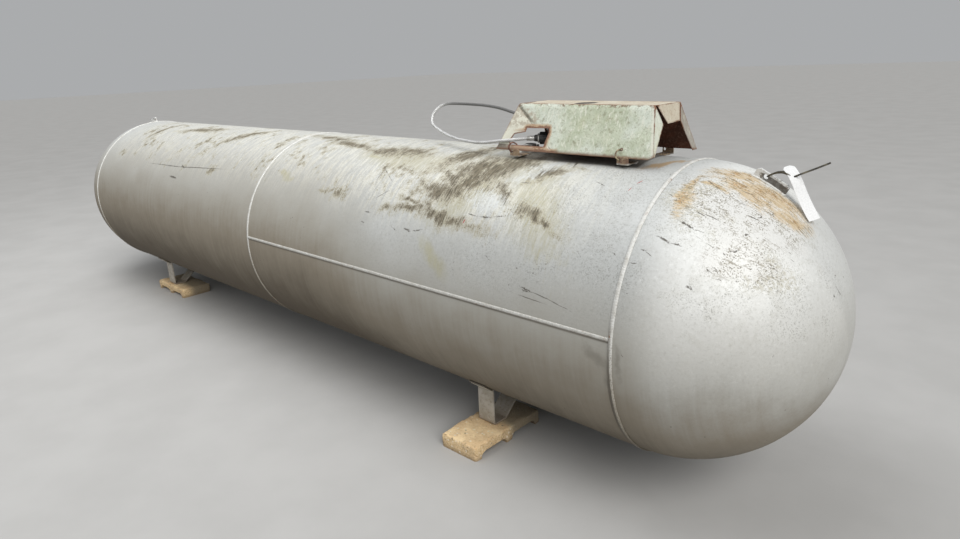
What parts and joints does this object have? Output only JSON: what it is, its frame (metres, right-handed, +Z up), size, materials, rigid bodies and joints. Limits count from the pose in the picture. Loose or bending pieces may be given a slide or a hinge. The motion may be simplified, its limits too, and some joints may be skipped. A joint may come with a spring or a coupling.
{
  "type": "horizontal pressure tank",
  "caption": "Weathered horizontal steel gas tank on bent strap legs and concrete blocks, with a folded sheet valve cover, an open window in it and a looped braided hose.",
  "frame": {"origin": "on the ground, at the bottom centre of the tank with its legs and blocks, below the middle girth weld", "axes": "+X along the tank to its near end, which carries the tagged lifting lug; -Y is the front, towards the viewer; +Z up"},
  "size_m": [5.2, 1.022, 1.319],
  "materials": {
    "silver_paint": "weathered semi-gloss",
    "weld": "rough painted bead",
    "strap_paint": "weathered matt",
    "concrete": "rough cast",
    "green_paint": "weathered matt",
    "cream_paint": "weathered matt",
    "rusty_steel": "rough",
    "ring_wire": "dull",
    "gauge_steel": "dull",
    "brass": "dull",
    "black_fitting": "satin",
    "hose": "braided",
    "black_plastic": "matt",
    "tag_paper": "smooth"
  },
  "bodies": {
    "root": {"shell_near": "silver_paint", "shell_far": "silver_paint", "head_near": "silver_paint", "head_far": "silver_paint", "girth_weld_near": "weld", "girth_weld_middle": "weld", "girth_weld_far": "weld", "long_seam_near": "weld", "long_seam_far": "weld", "leg_near_front": "strap_paint", "leg_near_back": "strap_paint", "leg_far_front": "strap_paint", "leg_far_back": "strap_paint", "block_near_front": "concrete", "block_near_back": "concrete", "block_far_front": "concrete", "block_far_back": "concrete", "lifting_lug_near": "silver_paint", "lifting_lug_far": "silver_paint", "cable_tie": "black_plastic", "blank_tag": "tag_paper", "cover_top": "cream_paint", "cover_front": "green_paint", "cover_back": "green_paint", "cover_flap_near": "cream_paint", "cover_wing_near_front": "green_paint", "cover_wing_near_back": "green_paint", "cover_flap_far": "cream_paint", "cover_wing_far_back": "green_paint", "cover_lug_near_front": "rusty_steel", "cover_lug_far_front": "rusty_steel", "cover_lug_near_back": "rusty_steel", "cover_lug_far_back": "rusty_steel", "lug_ring_near": "ring_wire", "lug_ring_far": "ring_wire", "float_gauge": "gauge_steel", "return_valve": "brass", "service_valve": "brass", "filler_valve": "brass", "relief_valve": "brass", "service_coupling": "black_fitting", "return_coupling": "black_fitting", "hose": "hose"}
  },
  "joints": []
}
